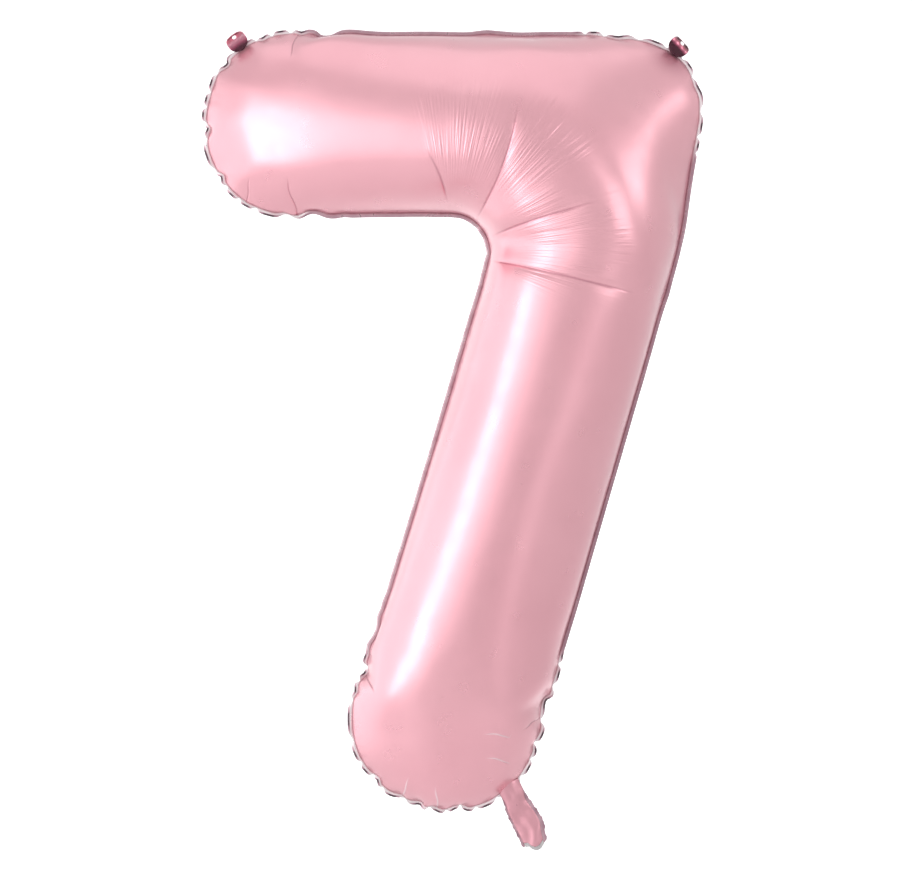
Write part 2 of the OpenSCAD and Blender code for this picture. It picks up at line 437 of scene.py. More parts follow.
def creased(points, centre):
    """Presses the long creases of the bend into a panel, as valleys towards the inside."""
    spoke = points[:, [0, 2]] - centre
    radius = np.linalg.norm(spoke, axis=1)
    angle = np.degrees(np.arctan2(spoke[:, 1], spoke[:, 0]))
    dent = np.zeros(len(points))
    for near, far, start, end, depth in CREASES:
        line = near + (far - near)*(radius - start)/(end - start)
        gap = np.radians(np.abs(angle - line))*radius
        length = eased((radius - start)/0.02)*eased((end - radius)/0.04)
        dent = np.maximum(dent, depth*length*np.exp(-gap/CREASE_WIDTH))
    across, mark = pleat_marks(points, centre)
    dent += mark*np.exp(-(across/PLEAT_WIDTH)**2)*PLEAT_DEPTH
    points = points.copy()
    points[:, 1] -= np.sign(points[:, 1])*dent
    return points


def pleat_marks(points, centre):
    """How far each point lies beside its nearest pleat, and how strongly that pleat marks it: 1 on
    a valley, -1 on a ridge, and 0 away from it."""
    across, mark = np.zeros(len(points)), np.zeros(len(points))
    least = np.full(len(points), np.inf)
    for x, z, direction, length, sign in PLEATS:
        spoke = points[:, [0, 2]] - centre - (x, z)
        along, beside = spoke @ unit(direction), spoke @ unit(direction + 90)
        beside += PLEAT_WAVE*np.sin(along/0.005)
        beyond = np.maximum(np.maximum(-along, along - length), 0)
        gap = np.hypot(beside, beyond)
        ends = eased((along + 0.010)/0.006)*eased((length - along)/0.012)
        strength = sign*ends*eased((0.013 - np.abs(beside))/0.004)
        closer = gap < least
        least = np.where(closer, gap, least)
        across = np.where(closer, beside, across)
        mark = np.where(closer, strength, mark)
    return across, mark


# ---------------------------------------------------------------- meshes

def new_piece(name, points, faces, material, attributes=None):
    """A smooth-shaded mesh object with the points that its faces use."""
    used = sorted({i for f in faces for i in f})
    order = {old: new for new, old in enumerate(used)}
    mesh = bpy.data.meshes.new(name)
    mesh.from_pydata(np.asarray(points)[used].tolist(), [],
                     [tuple(order[i] for i in f) for f in faces])
    mesh.polygons.foreach_set("use_smooth", [True]*len(mesh.polygons))
    for key, values in (attributes or {}).items():
        layer = mesh.attributes.new(key, "FLOAT", "POINT")
        layer.data.foreach_set("value", np.asarray(values, np.float32)[used])
    mesh.materials.append(material)
    mesh.update()
    piece = bpy.data.objects.new(name, mesh)
    bpy.context.scene.collection.objects.link(piece)
    return piece


def thicken(piece, thickness, offset):
    """Gives a film its thickness, so that the piece is a closed shell."""
    solid = piece.modifiers.new("thickness", "SOLIDIFY")
    solid.thickness = thickness
    solid.offset = offset
    bpy.context.view_layer.update()
    shell = bpy.data.meshes.new_from_object(
        piece.evaluated_get(bpy.context.evaluated_depsgraph_get()))
    piece.modifiers.clear()
    old = piece.data
    piece.data = shell
    bpy.data.meshes.remove(old)
    shell.name = piece.name
    return piece


# ---------------------------------------------------------------- materials

def blank_material(name):
    """A material with only its Principled node and output."""
    material = bpy.data.materials.new(name)
    material.use_nodes = True
    return material, material.node_tree.nodes, material.node_tree.links


def set_sockets(node, **values):
    """Sets input sockets by name, with underscores for spaces."""
    for key, value in values.items():
        node.inputs[key.replace("_", " ")].default_value = value


def noise(nodes, links, vector, scale, detail, distortion=0.0):
    """A noise texture on the given vector."""
    texture = nodes.new("ShaderNodeTexNoise")
    set_sockets(texture, Scale=scale, Detail=detail, Distortion=distortion)
    links.new(vector, texture.inputs["Vector"])
    return texture.outputs["Fac"]


def ramp(nodes, links, value, stops):
    """A colour ramp with the given (place, colour) stops."""
    node = nodes.new("ShaderNodeValToRGB")
    elements = node.color_ramp.elements
    while len(elements) < len(stops):
        elements.new(0.5)
    for element, (place, colour) in zip(elements, stops):
        element.position = place
        element.color = (*colour, 1)
    links.new(value, node.inputs["Fac"])
    return node.outputs["Color"]


def remap(nodes, links, value, low, high, to_low, to_high):
    """Maps a value from one range to another, clamped."""
    node = nodes.new("ShaderNodeMapRange")
    for key, number in zip(("From Min", "From Max", "To Min", "To Max"),
                           (low, high, to_low, to_high)):
        node.inputs[key].default_value = number
    links.new(value, node.inputs["Value"])
    return node.outputs["Result"]


def multiply(nodes, links, a, b):
    """The product of two values."""
    return math_node(nodes, links, "MULTIPLY", a, b)


def bump(nodes, links, height, distance, strength, under=None):
    """A bump node, on top of another normal if one is given."""
    node = nodes.new("ShaderNodeBump")
    set_sockets(node, Distance=distance, Strength=strength)
    links.new(height, node.inputs["Height"])
    if under is not None:
        links.new(under, node.inputs["Normal"])
    return node.outputs["Normal"]


def object_coordinates(nodes):
    """A place on the piece, in the piece's own coordinates."""
    return nodes.new("ShaderNodeTexCoord").outputs["Object"]


def attribute(nodes, name):
    """A number that the mesh holds at each of its points."""
    node = nodes.new("ShaderNodeAttribute")
    node.attribute_name = name
    return node.outputs["Fac"]


def seam_coordinates(nodes, links, inward):
    """A vector that runs round the seam, and in from it at a fraction of the distance."""
    join = nodes.new("ShaderNodeCombineXYZ")
    gap = attribute(nodes, "seam_gap")
    links.new(attribute(nodes, "seam_x"), join.inputs["X"])
    links.new(attribute(nodes, "seam_y"), join.inputs["Y"])
    links.new(math_node(nodes, links, "MULTIPLY", gap, inward), join.inputs["Z"])
    return join.outputs[0], gap


def math_node(nodes, links, operation, *values):
    """A math node on sockets or plain numbers."""
    node = nodes.new("ShaderNodeMath")
    node.operation = operation
    for socket, value in zip(node.inputs, values):
        if isinstance(value, (int, float)):
            socket.default_value = value
        else:
            links.new(value, socket)
    return node.outputs[0]


def bend_coordinates(nodes, links, place):
    """The distance from the centre of the inner bend, and the direction in radians."""
    split = nodes.new("ShaderNodeSeparateXYZ")
    links.new(place, split.inputs[0])
    centre = bend_centre()
    x = math_node(nodes, links, "SUBTRACT", split.outputs["X"], float(centre[0]))
    z = math_node(nodes, links, "SUBTRACT", split.outputs["Z"], float(centre[1]))
    square = math_node(nodes, links, "MULTIPLY_ADD", x, x,
                       math_node(nodes, links, "MULTIPLY", z, z))
    radius = math_node(nodes, links, "SQRT", square)
    angle = math_node(nodes, links, "ARCTAN2", z, x)
    return radius, angle


def fine_wrinkles(nodes, links, radius, angle):
    """Bunches of fine wrinkles that fan out round the bend, in patches."""
    fan = nodes.new("ShaderNodeCombineXYZ")
    links.new(math_node(nodes, links, "MULTIPLY", angle, 46.0), fan.inputs["X"])
    links.new(math_node(nodes, links, "MULTIPLY", radius, 14.0), fan.inputs["Y"])
    lines = noise(nodes, links, fan.outputs[0], 1.0, 1)
    patch = nodes.new("ShaderNodeCombineXYZ")
    links.new(math_node(nodes, links, "MULTIPLY", angle, 2.4), patch.inputs["X"])
    links.new(math_node(nodes, links, "MULTIPLY", radius, 9.0), patch.inputs["Y"])
    patches = remap(nodes, links, noise(nodes, links, patch.outputs[0], 1.0, 1),
                    0.34, 0.52, 0.0, 1.0)
    rise = remap(nodes, links, radius, 0.065, 0.110, 0.0, 1.0)
    fall = remap(nodes, links, radius, 0.165, 0.205, 1.0, 0.0)
    low = remap(nodes, links, angle, -0.50, -0.20, 0.0, 1.0)
    high = remap(nodes, links, angle, 1.65, 1.90, 1.0, 0.0)
    mask = multiply(nodes, links, multiply(nodes, links, rise, fall),
                    multiply(nodes, links, low, high))
    return multiply(nodes, links, lines, multiply(nodes, links, mask, patches))


def crease_line(nodes, links, radius, angle, near, far, start, end):
    """The sharp line at the bottom of one of the long creases: 1 on it and 0 beside it."""
    slope = math.radians(far - near)/(end - start)
    line = math_node(nodes, links, "MULTIPLY_ADD", radius, slope,
                     math.radians(near) - slope*start)
    gap = math_node(nodes, links, "ABSOLUTE", math_node(nodes, links, "SUBTRACT", angle, line))
    beside = math_node(nodes, links, "MULTIPLY", gap, radius)
    core = remap(nodes, links, beside, 0.0, 0.0020, 1.0, 0.0)
    ends = multiply(nodes, links, remap(nodes, links, radius, start, start + 0.015, 0.0, 1.0),
                    remap(nodes, links, radius, end - 0.03, end, 1.0, 0.0))
    return multiply(nodes, links, core, ends)


def mixed(nodes, links, factor, under, colour):
    """A colour laid over another one by a factor."""
    node = nodes.new("ShaderNodeMix")
    node.data_type = "RGBA"
    node.inputs["B"].default_value = (*colour, 1)
    links.new(factor, node.inputs["Factor"])
    links.new(under, node.inputs["A"])
    return node.outputs["Result"]


def crease_lines(nodes, links, radius, angle):
    """The sharp lines of all the long creases."""
    creases = None
    for near, far, start, end, _ in CREASES:
        line = crease_line(nodes, links, radius, angle, near, far, start, end)
        creases = line if creases is None else math_node(nodes, links, "MAXIMUM", creases, line)
    return creases


def pleat_lines(nodes, links):
    """The sharp lines of the short pleats: 1 on a valley and -1 on a ridge."""
    across = math_node(nodes, links, "ABSOLUTE", attribute(nodes, "pleat_across"))
    core = remap(nodes, links, across, 0.0, 0.0013, 1.0, 0.0)
    return multiply(nodes, links, core, attribute(nodes, "pleat_mark"))


def foil_colour(nodes, links, place, creases, pleat):
    """Pink, with painted shade as dark lines in creases and valleys and as darker patches that the
    mesh gives, and painted highlights as light lines on ridges.
    """
    tone = ramp(nodes, links, noise(nodes, links, place, 6, 3),
                [(0.30, (0.815, 0.405, 0.465)), (0.70, (0.865, 0.450, 0.510))])
    # Painted shade: the crease and valley lines, and the darkening that the mesh gives, mix the pink
    # towards deep burgundy.
    dark = math_node(nodes, links, "MAXIMUM", math_node(nodes, links, "MULTIPLY", creases, 0.55),
                     math_node(nodes, links, "MULTIPLY", pleat, 0.50))
    dark = math_node(nodes, links, "MAXIMUM", dark, attribute(nodes, "stain"))
    # Painted highlight: light pink lines on the ridges, where they catch the light.
    ridge = remap(nodes, links, pleat, -1.0, 0.0, 0.7, 0.0)
    shaded_pink = mixed(nodes, links, dark, tone, (0.34, 0.09, 0.14))
    return mixed(nodes, links, ridge, shaded_pink, (0.97, 0.80, 0.84))


def foil_normals(nodes, links, place, radius, angle, lines):
    """The foil's small relief: the normal of the film, and the softer one of its lacquer."""
    vector, gap = seam_coordinates(nodes, links, 0.12)
    gathers = noise(nodes, links, vector, 130, 2)
    fade = remap(nodes, links, gap, 0.0, 0.030, 1.0, 0.0)
    gathered = bump(nodes, links, multiply(nodes, links, gathers, fade), 0.0010, 0.5)
    pressed = bump(nodes, links, math_node(nodes, links, "SUBTRACT", 1.0, lines),
                   0.0008, 0.8, gathered)
    wrinkled = bump(nodes, links, fine_wrinkles(nodes, links, radius, angle),
                    0.0012, 0.9, pressed)
    dents = bump(nodes, links, noise(nodes, links, place, 22, 1), 0.002, 0.15, wrinkled)
    grain = bump(nodes, links, noise(nodes, links, place, 700, 1), 0.0001, 0.04, dents)
    return grain, dents


def pink_foil():
    """Metallised film under a satin pink lacquer. It gathers along the seam, and at the bend it
    has fine wrinkles and a few sharp crease lines."""
    material, nodes, links = blank_material("pink_foil")
    shader = nodes["Principled BSDF"]
    set_sockets(shader, Metallic=0.75, Coat_Weight=0.5, Coat_Roughness=0.18, Coat_IOR=1.5)
    place = object_coordinates(nodes)
    radius, angle = bend_coordinates(nodes, links, place)
    creases = crease_lines(nodes, links, radius, angle)
    pleat = pleat_lines(nodes, links)
    links.new(foil_colour(nodes, links, place, creases, pleat), shader.inputs["Base Color"])
    haze = noise(nodes, links, place, 40, 4)
    links.new(remap(nodes, links, haze, 0.3, 0.7, 0.27, 0.35), shader.inputs["Roughness"])
    lines = math_node(nodes, links, "ADD", creases, pleat)
    film, lacquer = foil_normals(nodes, links, place, radius, angle, lines)
    links.new(film, shader.inputs["Normal"])
    links.new(lacquer, shader.inputs["Coat Normal"])
    return material


def weld_edge():
    """Two films fused flat: silvery, with painted shade in dark burgundy where a gather folds them
    over.
    """
    material, nodes, links = blank_material("weld_edge")
    shader = nodes["Principled BSDF"]
    set_sockets(shader, Metallic=0.6, Coat_Weight=0.3, Coat_Roughness=0.2)
    place = object_coordinates(nodes)
    grain = noise(nodes, links, place, 90, 2)
    # The highest fold_shade values are painted shade, in dark burgundy.
    varied = math_node(nodes, links, "MULTIPLY_ADD", grain, 0.35, attribute(nodes, "fold_shade"))
    tone = ramp(nodes, links, varied,
                [(0.20, (0.84, 0.76, 0.78)), (0.60, (0.52, 0.33, 0.38)),
                 (0.85, (0.36, 0.20, 0.25)), (1.0, (0.08, 0.04, 0.055))])
    links.new(tone, shader.inputs["Base Color"])
    links.new(remap(nodes, links, grain, 0.3, 0.7, 0.25, 0.4), shader.inputs["Roughness"])
    ribs = noise(nodes, links, place, 500, 1)
    links.new(bump(nodes, links, ribs, 0.0002, 0.5), shader.inputs["Normal"])
    return material


def tab_foil():
    """The tabs' glossier, deeper pink, with soft creases."""
    material, nodes, links = blank_material("tab_foil")
    shader = nodes["Principled BSDF"]
    set_sockets(shader, Metallic=0.85, Coat_Weight=0.6, Coat_Roughness=0.06)
    place = object_coordinates(nodes)
    cloud = remap(nodes, links, noise(nodes, links, place, 50, 2), 0.3, 0.7, -0.08, 0.08)
    # Painted shade: the tab is dark burgundy at its root along the fold, and lighter out to its tip.
    tone = ramp(nodes, links, math_node(nodes, links, "ADD", cloud, attribute(nodes, "tab_shade")),
                [(0.05, (0.07, 0.010, 0.025)), (0.30, (0.34, 0.07, 0.13)),
                 (0.60, (0.66, 0.27, 0.35)), (0.95, (0.50, 0.44, 0.46))])
    links.new(tone, shader.inputs["Base Color"])
    links.new(remap(nodes, links, noise(nodes, links, place, 90, 2), 0.3, 0.7, 0.16, 0.26),
              shader.inputs["Roughness"])
    creases = noise(nodes, links, place, 160, 2, 0.6)
    links.new(bump(nodes, links, creases, 0.0006, 0.4), shader.inputs["Normal"])
    return material


def valve_film():
    """Thin milky film that lets some light through."""
    material, nodes, links = blank_material("valve_film")
    shader = nodes["Principled BSDF"]
    set_sockets(shader, Transmission_Weight=0.55, IOR=1.45, Coat_Weight=0.2)
    place = object_coordinates(nodes)
    tone = ramp(nodes, links, noise(nodes, links, place, 80, 3),
                [(0.3, (0.74, 0.70, 0.71)), (0.7, (0.88, 0.85, 0.86))])
    links.new(tone, shader.inputs["Base Color"])
    links.new(remap(nodes, links, noise(nodes, links, place, 140, 2), 0.3, 0.7, 0.3, 0.5),
              shader.inputs["Roughness"])
    links.new(bump(nodes, links, noise(nodes, links, place, 260, 2), 0.0003, 0.4),
              shader.inputs["Normal"])
    return material


def studio_white():
    """The plain pale floor and surround, brighter behind the balloon and at its left."""
    material, nodes, links = blank_material("studio_white")
    shader = nodes["Principled BSDF"]
    set_sockets(shader, Base_Color=(0.88, 0.88, 0.88, 1), Roughness=0.9,
                Emission_Color=(1, 1, 1, 1))
    split = nodes.new("ShaderNodeSeparateXYZ")
    links.new(object_coordinates(nodes), split.inputs[0])
    behind = remap(nodes, links, split.outputs["Y"], 0.5, 4.0, 0.0, 0.50)
    right = remap(nodes, links, split.outputs["X"], 1.8, 4.0, 1.0, 0.0)
    beside = remap(nodes, links, split.outputs["X"], -5.0, -1.0, 0.30, 0.0)
    links.new(math_node(nodes, links, "MAXIMUM", multiply(nodes, links, behind, right), beside),
              shader.inputs["Emission Strength"])
    return material


# ---------------------------------------------------------------- the balloon's pieces

def hinge(name):
    """A joint's place and the (x, z) directions along and across its fold."""
    joint = next(j for j in frame["joints"] if j["name"] == name)
    place = np.array(joint["pos_m"])[[0, 2]]
    side = np.array(joint["axis"])[[0, 2]]
    return place, side/np.linalg.norm(side)


def envelope_pieces(points, film):
    """The front panel, the back panel and the welded edge."""
    n = film["n"]
    index, gap = nearest(film["flat"], film["flat"][:n])
    turn = 2*math.pi*index/n
    round_seam = n*STEP/(2*math.pi)
    rows = np.c_[points, round_seam*np.cos(turn), round_seam*np.sin(turn), gap]
    for name, node, faces in (("front_panel_foil", "front_panel", film["front"]),
                              ("back_panel_foil", "back_panel", film["back"])):
        piece = foil_panel(name, rows, faces)
        dress(piece, "envelope", "pink_foil", node)
    edge = welded_edge(points[:n])
    dress(edge, "envelope", "weld_edge", "seam_band")


def foil_panel(name, rows, faces):
    """One panel: ironed at the bend, made finer, and creased. Each row is a point and its marks."""
    used = np.unique(np.asarray(faces))
    faces = np.searchsorted(used, np.asarray(faces))
    rows = rows[used]
    centre = bend_centre()
    near_bend = 1 - eased((np.linalg.norm(rows[:, [0, 2]] - centre, axis=1) - 0.13)/0.12)
    rows[:, :3] = ironed(rows[:, :3], faces, near_bend, BEND_ROUNDS)
    rows[:, :3] = ironed(rows[:, :3], faces, np.ones(len(rows)), IRON_ROUNDS)
    rows, faces = subdivided(rows, faces)
    rows[:, :3] = creased(rows[:, :3], centre)
    across, mark = pleat_marks(rows, centre)
    # Painted shade round the right tab: the panel is darkened there, standing in for the dark tab's
    # reflection on it.
    marks = dict(seam_x=rows[:, 3], seam_y=rows[:, 4], seam_gap=rows[:, 5],
                 pleat_across=across, pleat_mark=mark,
                 stain=0.80*closeness(rows[:, [0, 2]], [RIGHT_TAB], 0.042))
    piece = new_piece(name, rows[:, :3], faces, MATERIALS["pink_foil"], marks)
    return thicken(piece, FILM, -1)


def finer_loop(loop, rounded):
    """A closed curve with a point added on each side. A rounded one follows a film's finer rim."""
    around = (np.roll(loop, 1, 0) + np.roll(loop, -1, 0))/2
    kept = loop*3/4 + around/4 if rounded else loop
    added = (loop + np.roll(loop, -1, 0))/2
    return np.stack([kept, added], axis=1).reshape(-1, loop.shape[1])


def gathered_places(points):
    """1 round both ends and the outer corner, where the edge gathers, and 0 along the strokes."""
    lo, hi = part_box("seam_band")
    x, z = points[:, 0], points[:, 2]
    bar_end = eased((lo.x + 0.125 - x)/0.02)
    corner = eased((0.150 - np.hypot(x - hi.x, z - hi.z))/0.03)
    foot = eased((lo.z + 0.185 - z)/0.02)
    return np.maximum(np.maximum(bar_end, corner), foot)


def welded_edge(seam):
    """The flat weld round the seam. Round the ends it gathers into scallops with folded notches."""
    inner = finer_loop(finer_loop(finer_loop(seam, True), False), False)
    k = len(inner)
    out = outward(smoothed(inner[:, [0, 2]], 0.006, STEP/8))
    sideways = np.c_[out[:, 0], np.zeros(k), out[:, 1]]
    outer = inner + WELD*sideways
    run = np.cumsum(np.linalg.norm(np.roll(inner, -1, 0) - inner, axis=1))
    count = round(run[-1]/SCALLOP)
    jitter = 1.1*np.sin(2*math.pi*run/run[-1]*7) + 0.9*np.sin(2*math.pi*run/run[-1]*23)
    phase = math.pi*count*run/run[-1] + jitter
    gather = gathered_places(inner)*(1 - closeness(inner[:, [0, 2]], CALM, 0.022))
    notch = (gather*np.abs(np.cos(phase))**9)[:, None]
    roll = gather*np.sin(2*phase)
    outer = outer + (inner - outer)*notch*0.80
    outer[:, 1] += SCALLOP_ROLL*roll
    rows = [inner - WELD_LAP*sideways, inner*0.55 + outer*0.45, inner*0.40 + outer*0.60, outer]
    # Painted shade on the welded edge: dark dashes in the folded notches where it gathers, and the
    # edge darker where it faces right, away from the key light. The rows also darken outward.
    dark = gather*np.abs(np.sin(phase))**2.5
    flat = (0.50 + 0.12*out[:, 0])*(1 - gather)
    shade = [flat*0.7, flat*0.9 + 0.05*gather, flat + 0.95*dark, flat + 1.0*dark]
    open_at = np.abs((inner[:, [0, 2]] - NECK) @ NECK_SIDE) < NECK_HALF_WIDTH
    open_at &= np.linalg.norm(inner[:, [0, 2]] - NECK, axis=1) < 0.030
    faces = [(r*k + i, r*k + (i + 1) % k, (r + 1)*k + (i + 1) % k, (r + 1)*k + i)
             for r in range(3) for i in range(k) if not open_at[i]]
    piece = new_piece("welded_edge", np.vstack(rows), faces, MATERIALS["weld_edge"],
                      dict(fold_shade=np.concatenate(shade)))
    return thicken(piece, 2*FILM, 0)


def dress(piece, body, slot, *nodes):
    """Says what a piece rides on and which CAD nodes it stands for. The slot, which would name its
    finish, is not used.
    """
    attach(piece, body)
    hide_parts(*nodes)


def rounded_line(at, places, values, reach):
    """A line through given values, with its corners rounded over a reach."""
    at = np.asarray(at)
    return sum(np.interp(at + reach*k/3, places, values) for k in range(-3, 4))/7


def tail_edges(s):
    """How far the tail reaches to its left and right of the fold's middle, at a distance along."""
    left = rounded_line(s, [-17, -10, 0, 18, 40, 60], [-15, -13.5, -12.5, -14, -12, -10], 5)
    right = rounded_line(s, [-17, -8, 0, 15, 30, 42, 50, 60], [12, 12, 13.5, 17, 20.5, 22, 19, 18], 4)
    return left, right


def tail_mouth(t):
    """The ragged end of the tail: its distance along, across the tail."""
    return np.interp(t, [-12, -3, -1, 3, 8, 12, 18], [56, 58, 62, 65, 64.5, 61.5, 57])


def weld_width(s, full):
    """The width of a weld along the tail, which begins narrow at the neck."""
    return 0.6 + (full - 0.6)*eased((np.asarray(s) + 6)/16)


def tail_point(s, t, y):
    """A point of the tail, from millimetres along, across and in front or behind."""
    sway = 1.2*np.sin(s/11 + 0.4) + 0.9*np.sin(t/6 + s/17)
    sway = sway*eased((np.asarray(s) + 2)/22)
    flat = NECK + (TAIL_DIR*np.asarray(s)[..., None] + NECK_SIDE*np.asarray(t)[..., None])/1000
    return np.stack([flat[..., 0], (y + sway)/1000, flat[..., 1]], axis=-1)


def grid_faces(rows, columns, flip=False):
    """The quads of a grid of points."""
    faces = []
    for r in range(rows - 1):
        for c in range(columns - 1):
            i = r*columns + c
            quad = (i, i + 1, i + columns + 1, i + columns)
            faces.append(quad[::-1] if flip else quad)
    return faces


def tail_film(name, side, node):
    """One of the tail's two films: puffed at the neck, where it comes out of the foot, flat at the
    mouth, and crumpled."""
    rows, columns = 60, 32
    v, u = np.meshgrid(np.linspace(0, 1, rows), np.linspace(0, 1, columns), indexing="ij")
    reach = TAIL_START + v*(TAIL_END - TAIL_START)
    left, right = tail_edges(reach)
    left = left + weld_width(reach, TAIL_WELDS[0]) - 0.8
    right = right - weld_width(reach, TAIL_WELDS[1]) + 0.8
    t = left + u*(right - left)
    s = TAIL_START + v*(tail_mouth(t) - 4.5 - TAIL_START)
    puff = np.interp(s, [-12, -6, 0, 8, 20, 60], [5.2, 4.6, 3.9, 3.0, 2.2, 1.7])
    crown = np.clip(1 - np.abs(2*u - 1)**2.4, 0, None)
    crumple = 0.22*np.sin(t/2.2 + 2*np.sin(s/9)) + 0.20*np.sin(s/4.3 + t/5)
    folds = 0.5*np.sin(t/1.9)*np.exp(-((s + 3)/6)**2)
    y = side*(0.3 + (puff + folds)*crown + crumple*crown*eased((s + 6)/10))
    points = tail_point(s, t, y).reshape(-1, 3)
    gap = np.minimum(t - left, right - t)/1000
    # Painted shade: the tail's whole film is darkened a little against the envelope's pink.
    marks = dict(seam_x=(s/1000).ravel(), seam_gap=gap.ravel(), stain=np.full(s.size, 0.28))
    faces = grid_faces(rows, columns, side > 0)
    piece = new_piece(name, points, faces, MATERIALS["pink_foil"], marks)
    thicken(piece, FILM/2, -1)
    return on_tail(piece, node)


def tail_weld(name, side, width, node):
    """The weld along one side of the tail, which turns round its corner at the mouth."""
    rows, columns = 80, 6
    v, u = np.meshgrid(np.linspace(0, 1, rows), np.linspace(0, 1, columns), indexing="ij")
    start = TAIL_START + 6
    reach = start + v*(TAIL_END - start)
    left, right = tail_edges(reach)
    edge = right if side > 0 else left
    ragged = 0.35*np.sin(reach/1.7) + 0.25*np.sin(reach/0.9 + 1)
    t = edge - side*(u*weld_width(reach, width) - (1 - u)*ragged*eased(reach/10))
    s = start + v*(tail_mouth(t) - start) - 0.8*u*v
    y = 0.35*np.sin(s/2.1)*(1 - u)
    shade = 0.42 + 0.22*(1 - u) + 0.10*np.sin(reach/3.1)
    piece = new_piece(name, tail_point(s, t, y).reshape(-1, 3), grid_faces(rows, columns),
                      MATERIALS["weld_edge"], dict(fold_shade=shade.ravel()))
    thicken(piece, 2*FILM, 0)
    return on_tail(piece, node)


def valve_sleeve(name, side, node):
    """One of the two milky films of the filling valve, between the tail's films. Its mouth
    stands a little proud of the pink film."""
    rows, columns = 40, 12
    v, u = np.meshgrid(np.linspace(0, 1, rows), np.linspace(0, 1, columns), indexing="ij")
    reach = 2 + v*58
    left, right = tail_edges(reach)
    left, right = left + 3.2, right - 4.6
    t = left + u*(right - left)
    s = 2 + v*(tail_mouth(t) - 2)
    y = side*(0.25 + 0.5*np.sin(math.pi*u))
    piece = new_piece(name, tail_point(s, t, y).reshape(-1, 3),
                      grid_faces(rows, columns, side > 0), MATERIALS["valve_film"])
    thicken(piece, FILM/2, 0)
    return on_tail(piece, node)


def on_tail(piece, node):
    """Bakes the piece's place into its points and hides the CAD node that it stands for."""
    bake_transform(piece)
    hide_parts(node)
    return piece


def flat_tab():
    """The tab lying flat, with its hole: points across and out from its fold, and triangles."""
    half, length, root, hole = TAB
    turn = np.linspace(0, 2*math.pi, 90, endpoint=False)
    rise = np.sign(np.sin(turn))*np.abs(np.sin(turn))**0.8
    rim = np.c_[half*np.cos(turn), (length - root)/2 + (length + root)/2*rise]
    rim = evenly(rim, 0.0008)
    turn = np.linspace(0, 2*math.pi, 24, endpoint=False)
    ring = np.c_[hole*np.cos(turn), HOLE_AT + hole*np.sin(turn)]
    grid = lattice(rim, 0.0011)
    grid = grid[(nearest(grid, rim)[1] > 0.0006)
                & (np.linalg.norm(grid - (0, HOLE_AT), axis=1) > hole + 0.0006)]
    flat = np.vstack([rim, ring, grid])
    k, h = len(rim), len(ring)
    lines = [(i, (i + 1) % k) for i in range(k)]
    lines += [(k + i, k + (i + 1) % h) for i in range(h)]
    triangles = delaunay_2d_cdt([Vector(p) for p in flat*1000], lines, [], 0, 1e-5)[2]
    middle = flat[np.array([list(t) for t in triangles])].mean(1)
    keep = within(rim, middle) & (np.linalg.norm(middle - (0, HOLE_AT), axis=1) > hole*0.97)
    return flat, [tuple(t) for t, inside in zip(triangles, keep) if inside]


def hang_tab(name, fold, side, curl, lift, tip, node):
    """A rounded tab with its hanging hole, rolled forwards from its fold with the radius curl. Its
    root is painted dark as shade, for less of its length with a lift, and the tip says how far its
    tone goes to silver."""
    out = np.array([-side[1], side[0]])
    if out[1] < 0:
        out = -out
    flat, faces = flat_tab()
    bend = np.clip(flat[:, 1], 0, None)/curl
    reach = np.minimum(flat[:, 1], 0) + curl*np.sin(bend)
    y = -(curl*(1 - np.cos(bend)) + 0.0020) + 0.0004*np.sin(flat[:, 0]*900)*bend
    place = fold + side*flat[:, :1] + out*reach[:, None]
    # Painted shade: dark at the root along the fold, lightening out to the tip.
    shade = tip*eased((flat[:, 1] + lift)/(TAB[1]*0.75))
    piece = new_piece(name, np.c_[place[:, 0], y, place[:, 1]], faces, MATERIALS["tab_foil"],
                      dict(tab_shade=shade))
    thicken(piece, FILM, 0)
    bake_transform(piece)
    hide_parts(node)
    return piece


# ---------------------------------------------------------------- stage, lights and camera

def clear_defaults():
    """Removes what a new Blender file holds."""
    for thing in list(bpy.data.objects):
        if thing.type in {"MESH", "LIGHT", "CAMERA"} and thing not in frame["nodes"].values():
            bpy.data.objects.remove(thing)


def view_target():
    """The point that the camera and the lights face."""
    lo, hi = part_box("seam_band")
    return (lo + hi)/2 + VIEW_SHIFT


def make_camera():
    """A long lens straight in front of the balloon."""
    data = bpy.data.cameras.new("camera")
    data.lens = LENS
    data.sensor_width = SENSOR
    data.clip_end = 100
    camera = bpy.data.objects.new("camera", data)
    camera.location = view_target() + Vector((0, -VIEW_WIDTH*LENS/SENSOR, 0))
    camera.rotation_euler = (math.pi/2, 0, 0)
    bpy.context.scene.collection.objects.link(camera)
    bpy.context.scene.camera = camera


def make_surround(material):
    """A round floor whose edge sweeps up into a wall, well outside every camera."""
    floor_z = cad_lo.z - FLOOR_DROP
    flat_radius, sweep, turns = 6.0, 3.0, 64
    profile = [(0.0, floor_z), (flat_radius, floor_z)]
    for k in range(1, 13):
        a = math.pi/2*k/12
        profile.append((flat_radius + sweep*math.sin(a), floor_z + sweep*(1 - math.cos(a))))
    profile.append((flat_radius + sweep, floor_z + 2*sweep))
    points, faces = [], []
    for r, z in profile:
        for k in range(turns):
            a = 2*math.pi*k/turns
            points.append((r*math.cos(a), r*math.sin(a), z))
    for ring in range(len(profile) - 1):
        for k in range(turns):
            j = (k + 1) % turns
            a, b = ring*turns, (ring + 1)*turns
            faces.append((a + k, a + j, b + j, b + k) if ring else (0, b + j, b + k))
    floor = new_piece("studio_floor", points, faces, material)


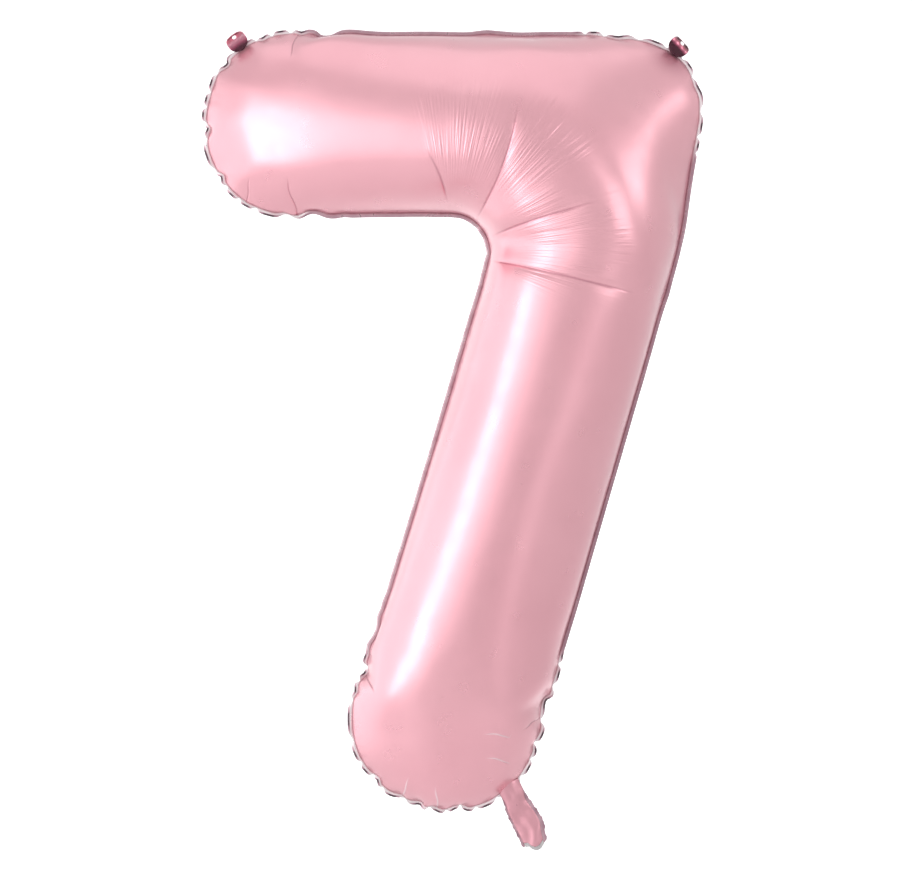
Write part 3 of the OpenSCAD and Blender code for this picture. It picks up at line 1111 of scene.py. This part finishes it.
def softbox(name, azimuth, elevation, distance, width, height, power):
    """A soft light that faces the balloon. Azimuth 0 is in front, and positive is to its right."""
    light = bpy.data.lights.new(name, "AREA")
    light.shape = "RECTANGLE"
    light.size, light.size_y, light.energy = width, height, power
    lamp = bpy.data.objects.new(name, light)
    a, e = math.radians(azimuth), math.radians(elevation)
    away = Vector((math.sin(a)*math.cos(e), -math.cos(a)*math.cos(e), math.sin(e)))
    lamp.location = view_target() + away*distance
    lamp.rotation_euler = away.to_track_quat("Z", "Y").to_euler()
    lamp.visible_camera = False
    bpy.context.scene.collection.objects.link(lamp)


def make_lights():
    """A tall soft key at the left that fades towards the middle, a smaller fill high at the right,
    weak light from the far left and from above, and a pale room."""
    softbox("key", -50, 1, 2.0, 0.62, 1.7, 7.1)
    softbox("key_fade", -36, -7, 2.1, 0.62, 2.0, 2.3)
    softbox("key_edge", -22, 0, 2.1, 0.75, 1.5, 1.1)
    softbox("left", -92, -4, 2.2, 2.6, 2.3, 8.6)
    softbox("fill", 41, 9, 2.2, 1.0, 0.9, 3.6)
    softbox("corner", 75, 25, 2.2, 0.9, 0.5, 2.4)
    softbox("strip", 26, -16, 2.2, 0.6, 0.5, 0.40)
    softbox("top", 0, 82, 2.2, 2.4, 2.0, 6.0)
    bpy.context.scene.view_settings.view_transform = "Standard"
    world = bpy.data.worlds.new("room")
    world.use_nodes = True
    background = world.node_tree.nodes["Background"]
    set_sockets(background, Color=(1, 1, 1, 1), Strength=0.78)
    bpy.context.scene.world = world


# ---------------------------------------------------------------- the build

clear_defaults()
make_camera()
MATERIALS = dict(pink_foil=pink_foil(), weld_edge=weld_edge(), tab_foil=tab_foil(),
                 valve_film=valve_film())
make_surround(studio_white())
make_lights()

NECK, NECK_SIDE = hinge("tail_fold")
TAIL_DIR = np.array([NECK_SIDE[1], -NECK_SIDE[0]])
LEFT_TAB, LEFT_SIDE = hinge("tab_left_fold")
RIGHT_TAB, RIGHT_SIDE = hinge("tab_right_fold")
FOIL = cut_film()
INNER = bend_centre() + unit(38)*INFLATED["inner"]
CALM = [NECK, LEFT_TAB, RIGHT_TAB]
SHAPE = settled(inflate(FOIL), FOIL["n"], [*CALM, INNER])
envelope_pieces(SHAPE, FOIL)
tail_film("tail_front_foil", -1, "tail_front_film")
tail_film("tail_back_foil", 1, "tail_back_film")
tail_weld("tail_weld_left", -1, TAIL_WELDS[0], "tail_seal_left")
tail_weld("tail_weld_right", 1, TAIL_WELDS[1], "tail_seal_right")
valve_sleeve("valve_sleeve_front", -1, "valve_mouth_front")
valve_sleeve("valve_sleeve_back", 1, "valve_mouth_back")
hang_tab("hanging_tab_left", LEFT_TAB, LEFT_SIDE, 0.0105, 0.0060, 0.66,
         "hang_tab_left")
hang_tab("hanging_tab_right", RIGHT_TAB, RIGHT_SIDE, 0.0085, 0.0015, 1.0,
         "hang_tab_right")
for inside in ("valve_neck_front", "valve_neck_back", "valve_inner_front", "valve_inner_back"):
    frame["nodes"][inside].data.materials.clear()
    frame["nodes"][inside].data.materials.append(MATERIALS["valve_film"])
